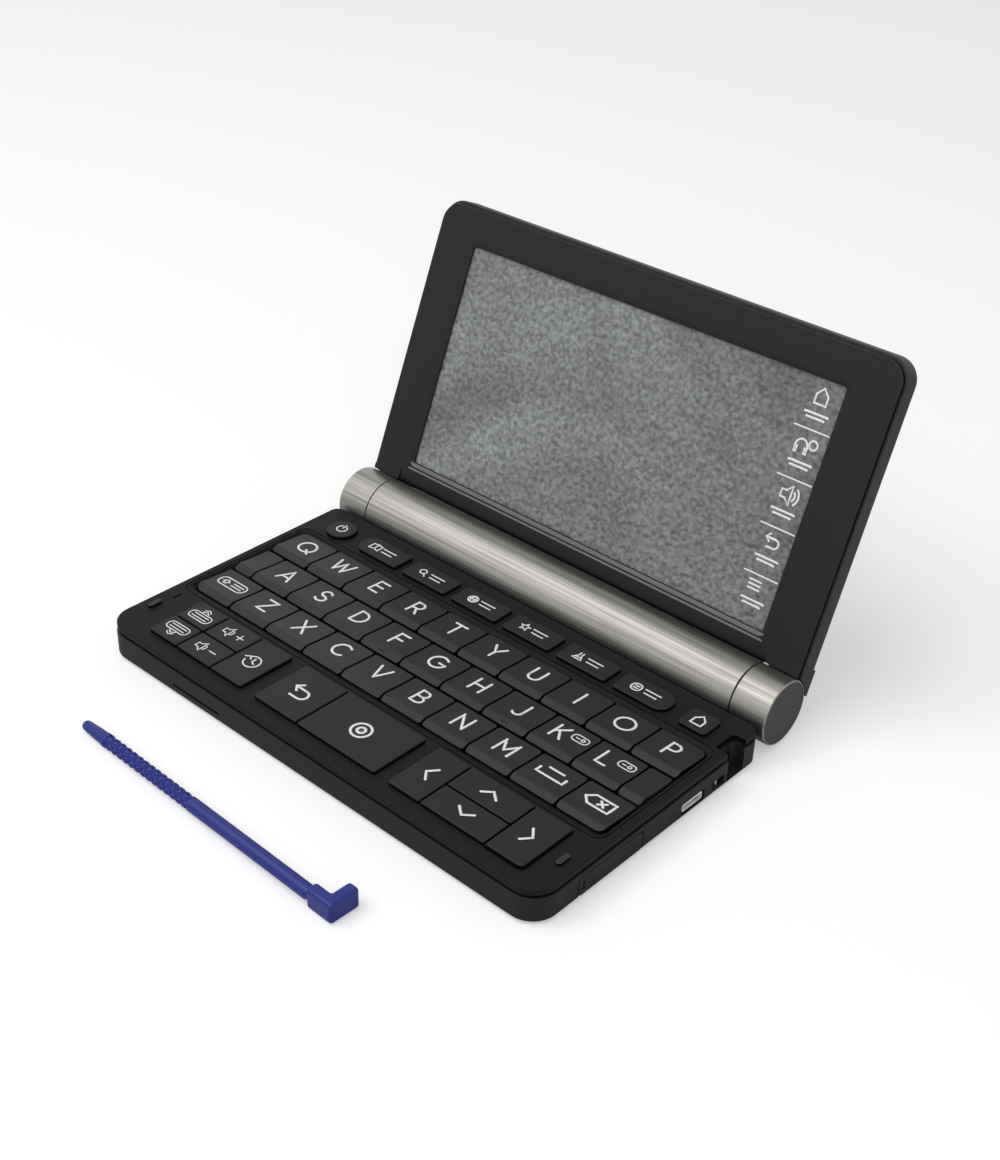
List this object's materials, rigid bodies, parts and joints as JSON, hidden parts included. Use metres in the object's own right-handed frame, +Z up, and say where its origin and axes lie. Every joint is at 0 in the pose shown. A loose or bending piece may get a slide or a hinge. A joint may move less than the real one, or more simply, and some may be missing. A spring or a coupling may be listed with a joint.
{
  "type": "electronic dictionary",
  "caption": "Clamshell electronic dictionary, open, with a tilting screen lid, battery barrel hinge, sprung keys and a blue stylus on the table.",
  "frame": {"origin": "centre of the flat underside of the lower case", "axes": "+Z up out of the keyboard, +Y from the user to the hinge, +X to the right of the user"},
  "size_m": [0.1482, 0.1603, 0.0915],
  "materials": {
    "body_plastic": "fine satin grain, charcoal",
    "deck_plastic": "fine satin grain, charcoal",
    "key_plastic": "satin, charcoal with white legends",
    "bezel_plastic": "satin, charcoal",
    "barrel_metal": "lengthwise brushed, warm grey",
    "cell_can": "smooth can with a plain sleeve",
    "screen_glass": "glossy over a dark grey screen",
    "stylus_plastic": "semi-gloss deep blue, knurled grip"
  },
  "bodies": {
    "base": {"bottom_case": "body_plastic", "keyboard_deck": "deck_plastic", "centre_barrel": "barrel_metal", "battery_pair": "cell_can"},
    "lid": {"lid_back_cover": "body_plastic", "lid_bezel": "bezel_plastic", "display_panel": "screen_glass", "left_hinge_knuckle": "barrel_metal", "right_hinge_knuckle": "barrel_metal"},
    "battery_cover": {"battery_cover": "barrel_metal"},
    "card_slot_cover": {"card_slot_cover": "body_plastic"},
    "stylus": {"stylus": "stylus_plastic"},
    "key_power": {"key_power": "key_plastic"},
    "key_f1": {"key_f1": "key_plastic"},
    "key_f2": {"key_f2": "key_plastic"},
    "key_f3": {"key_f3": "key_plastic"},
    "key_f4": {"key_f4": "key_plastic"},
    "key_f5": {"key_f5": "key_plastic"},
    "key_f6": {"key_f6": "key_plastic"},
    "key_home": {"key_home": "key_plastic"},
    "key_q": {"key_q": "key_plastic"},
    "key_w": {"key_w": "key_plastic"},
    "key_e": {"key_e": "key_plastic"},
    "key_r": {"key_r": "key_plastic"},
    "key_t": {"key_t": "key_plastic"},
    "key_y": {"key_y": "key_plastic"},
    "key_u": {"key_u": "key_plastic"},
    "key_i": {"key_i": "key_plastic"},
    "key_o": {"key_o": "key_plastic"},
    "key_p": {"key_p": "key_plastic"},
    "key_a": {"key_a": "key_plastic"},
    "key_s": {"key_s": "key_plastic"},
    "key_d": {"key_d": "key_plastic"},
    "key_f": {"key_f": "key_plastic"},
    "key_g": {"key_g": "key_plastic"},
    "key_h": {"key_h": "key_plastic"},
    "key_j": {"key_j": "key_plastic"},
    "key_k": {"key_k": "key_plastic"},
    "key_l": {"key_l": "key_plastic"},
    "key_shift": {"key_shift": "key_plastic"},
    "key_z": {"key_z": "key_plastic"},
    "key_x": {"key_x": "key_plastic"},
    "key_c": {"key_c": "key_plastic"},
    "key_v": {"key_v": "key_plastic"},
    "key_b": {"key_b": "key_plastic"},
    "key_n": {"key_n": "key_plastic"},
    "key_m": {"key_m": "key_plastic"},
    "key_space": {"key_space": "key_plastic"},
    "key_delete": {"key_delete": "key_plastic"},
    "key_previous": {"key_previous": "key_plastic"},
    "key_next": {"key_next": "key_plastic"},
    "key_volume_up": {"key_volume_up": "key_plastic"},
    "key_volume_down": {"key_volume_down": "key_plastic"},
    "key_history": {"key_history": "key_plastic"},
    "key_back": {"key_back": "key_plastic"},
    "key_enter": {"key_enter": "key_plastic"},
    "key_left": {"key_left": "key_plastic"},
    "key_up": {"key_up": "key_plastic"},
    "key_down": {"key_down": "key_plastic"},
    "key_right": {"key_right": "key_plastic"}
  },
  "joints": [
    {"name": "lid_hinge", "type": "hinge", "parent": "base", "child": "lid", "pos_m": [0, 0.04111, 0.0091], "axis": [1, 0, 0], "range_deg": [-32, 111.57]},
    {"name": "battery_cover_pull", "type": "slide", "parent": "base", "child": "battery_cover", "axis": [0, 0.5, -0.866], "range_m": [0, 0.02]},
    {"name": "card_slot_cover_pull", "type": "slide", "parent": "base", "child": "card_slot_cover", "axis": [1, 0, 0], "range_m": [0, 0.006]},
    {"name": "stylus_lift", "type": "slide", "parent": "base", "child": "stylus", "axis": [0, 0, 1], "range_m": [0, 0.03]},
    {"name": "key_power_press", "type": "slide", "parent": "base", "child": "key_power", "axis": [0, 0, -1], "range_m": [0, 0.001], "stiffness_N_per_m": 250},
    {"name": "key_f1_press", "type": "slide", "parent": "base", "child": "key_f1", "axis": [0, 0, -1], "range_m": [0, 0.001], "stiffness_N_per_m": 250},
    {"name": "key_f2_press", "type": "slide", "parent": "base", "child": "key_f2", "axis": [0, 0, -1], "range_m": [0, 0.001], "stiffness_N_per_m": 250},
    {"name": "key_f3_press", "type": "slide", "parent": "base", "child": "key_f3", "axis": [0, 0, -1], "range_m": [0, 0.001], "stiffness_N_per_m": 250},
    {"name": "key_f4_press", "type": "slide", "parent": "base", "child": "key_f4", "axis": [0, 0, -1], "range_m": [0, 0.001], "stiffness_N_per_m": 250},
    {"name": "key_f5_press", "type": "slide", "parent": "base", "child": "key_f5", "axis": [0, 0, -1], "range_m": [0, 0.001], "stiffness_N_per_m": 250},
    {"name": "key_f6_press", "type": "slide", "parent": "base", "child": "key_f6", "axis": [0, 0, -1], "range_m": [0, 0.001], "stiffness_N_per_m": 250},
    {"name": "key_home_press", "type": "slide", "parent": "base", "child": "key_home", "axis": [0, 0, -1], "range_m": [0, 0.001], "stiffness_N_per_m": 250},
    {"name": "key_q_press", "type": "slide", "parent": "base", "child": "key_q", "axis": [0, 0, -1], "range_m": [0, 0.001], "stiffness_N_per_m": 250},
    {"name": "key_w_press", "type": "slide", "parent": "base", "child": "key_w", "axis": [0, 0, -1], "range_m": [0, 0.001], "stiffness_N_per_m": 250},
    {"name": "key_e_press", "type": "slide", "parent": "base", "child": "key_e", "axis": [0, 0, -1], "range_m": [0, 0.001], "stiffness_N_per_m": 250},
    {"name": "key_r_press", "type": "slide", "parent": "base", "child": "key_r", "axis": [0, 0, -1], "range_m": [0, 0.001], "stiffness_N_per_m": 250},
    {"name": "key_t_press", "type": "slide", "parent": "base", "child": "key_t", "axis": [0, 0, -1], "range_m": [0, 0.001], "stiffness_N_per_m": 250},
    {"name": "key_y_press", "type": "slide", "parent": "base", "child": "key_y", "axis": [0, 0, -1], "range_m": [0, 0.001], "stiffness_N_per_m": 250},
    {"name": "key_u_press", "type": "slide", "parent": "base", "child": "key_u", "axis": [0, 0, -1], "range_m": [0, 0.001], "stiffness_N_per_m": 250},
    {"name": "key_i_press", "type": "slide", "parent": "base", "child": "key_i", "axis": [0, 0, -1], "range_m": [0, 0.001], "stiffness_N_per_m": 250},
    {"name": "key_o_press", "type": "slide", "parent": "base", "child": "key_o", "axis": [0, 0, -1], "range_m": [0, 0.001], "stiffness_N_per_m": 250},
    {"name": "key_p_press", "type": "slide", "parent": "base", "child": "key_p", "axis": [0, 0, -1], "range_m": [0, 0.001], "stiffness_N_per_m": 250},
    {"name": "key_a_press", "type": "slide", "parent": "base", "child": "key_a", "axis": [0, 0, -1], "range_m": [0, 0.001], "stiffness_N_per_m": 250},
    {"name": "key_s_press", "type": "slide", "parent": "base", "child": "key_s", "axis": [0, 0, -1], "range_m": [0, 0.001], "stiffness_N_per_m": 250},
    {"name": "key_d_press", "type": "slide", "parent": "base", "child": "key_d", "axis": [0, 0, -1], "range_m": [0, 0.001], "stiffness_N_per_m": 250},
    {"name": "key_f_press", "type": "slide", "parent": "base", "child": "key_f", "axis": [0, 0, -1], "range_m": [0, 0.001], "stiffness_N_per_m": 250},
    {"name": "key_g_press", "type": "slide", "parent": "base", "child": "key_g", "axis": [0, 0, -1], "range_m": [0, 0.001], "stiffness_N_per_m": 250},
    {"name": "key_h_press", "type": "slide", "parent": "base", "child": "key_h", "axis": [0, 0, -1], "range_m": [0, 0.001], "stiffness_N_per_m": 250},
    {"name": "key_j_press", "type": "slide", "parent": "base", "child": "key_j", "axis": [0, 0, -1], "range_m": [0, 0.001], "stiffness_N_per_m": 250},
    {"name": "key_k_press", "type": "slide", "parent": "base", "child": "key_k", "axis": [0, 0, -1], "range_m": [0, 0.001], "stiffness_N_per_m": 250},
    {"name": "key_l_press", "type": "slide", "parent": "base", "child": "key_l", "axis": [0, 0, -1], "range_m": [0, 0.001], "stiffness_N_per_m": 250},
    {"name": "key_shift_press", "type": "slide", "parent": "base", "child": "key_shift", "axis": [0, 0, -1], "range_m": [0, 0.001], "stiffness_N_per_m": 250},
    {"name": "key_z_press", "type": "slide", "parent": "base", "child": "key_z", "axis": [0, 0, -1], "range_m": [0, 0.001], "stiffness_N_per_m": 250},
    {"name": "key_x_press", "type": "slide", "parent": "base", "child": "key_x", "axis": [0, 0, -1], "range_m": [0, 0.001], "stiffness_N_per_m": 250},
    {"name": "key_c_press", "type": "slide", "parent": "base", "child": "key_c", "axis": [0, 0, -1], "range_m": [0, 0.001], "stiffness_N_per_m": 250},
    {"name": "key_v_press", "type": "slide", "parent": "base", "child": "key_v", "axis": [0, 0, -1], "range_m": [0, 0.001], "stiffness_N_per_m": 250},
    {"name": "key_b_press", "type": "slide", "parent": "base", "child": "key_b", "axis": [0, 0, -1], "range_m": [0, 0.001], "stiffness_N_per_m": 250},
    {"name": "key_n_press", "type": "slide", "parent": "base", "child": "key_n", "axis": [0, 0, -1], "range_m": [0, 0.001], "stiffness_N_per_m": 250},
    {"name": "key_m_press", "type": "slide", "parent": "base", "child": "key_m", "axis": [0, 0, -1], "range_m": [0, 0.001], "stiffness_N_per_m": 250},
    {"name": "key_space_press", "type": "slide", "parent": "base", "child": "key_space", "axis": [0, 0, -1], "range_m": [0, 0.001], "stiffness_N_per_m": 250},
    {"name": "key_delete_press", "type": "slide", "parent": "base", "child": "key_delete", "axis": [0, 0, -1], "range_m": [0, 0.001], "stiffness_N_per_m": 250},
    {"name": "key_previous_press", "type": "slide", "parent": "base", "child": "key_previous", "axis": [0, 0, -1], "range_m": [0, 0.001], "stiffness_N_per_m": 250},
    {"name": "key_next_press", "type": "slide", "parent": "base", "child": "key_next", "axis": [0, 0, -1], "range_m": [0, 0.001], "stiffness_N_per_m": 250},
    {"name": "key_volume_up_press", "type": "slide", "parent": "base", "child": "key_volume_up", "axis": [0, 0, -1], "range_m": [0, 0.001], "stiffness_N_per_m": 250},
    {"name": "key_volume_down_press", "type": "slide", "parent": "base", "child": "key_volume_down", "axis": [0, 0, -1], "range_m": [0, 0.001], "stiffness_N_per_m": 250},
    {"name": "key_history_press", "type": "slide", "parent": "base", "child": "key_history", "axis": [0, 0, -1], "range_m": [0, 0.001], "stiffness_N_per_m": 250},
    {"name": "key_back_press", "type": "slide", "parent": "base", "child": "key_back", "axis": [0, 0, -1], "range_m": [0, 0.001], "stiffness_N_per_m": 250},
    {"name": "key_enter_press", "type": "slide", "parent": "base", "child": "key_enter", "axis": [0, 0, -1], "range_m": [0, 0.001], "stiffness_N_per_m": 250},
    {"name": "key_left_press", "type": "slide", "parent": "base", "child": "key_left", "axis": [0, 0, -1], "range_m": [0, 0.001], "stiffness_N_per_m": 250},
    {"name": "key_up_press", "type": "slide", "parent": "base", "child": "key_up", "axis": [0, 0, -1], "range_m": [0, 0.001], "stiffness_N_per_m": 250},
    {"name": "key_down_press", "type": "slide", "parent": "base", "child": "key_down", "axis": [0, 0, -1], "range_m": [0, 0.001], "stiffness_N_per_m": 250},
    {"name": "key_right_press", "type": "slide", "parent": "base", "child": "key_right", "axis": [0, 0, -1], "range_m": [0, 0.001], "stiffness_N_per_m": 250}
  ]
}
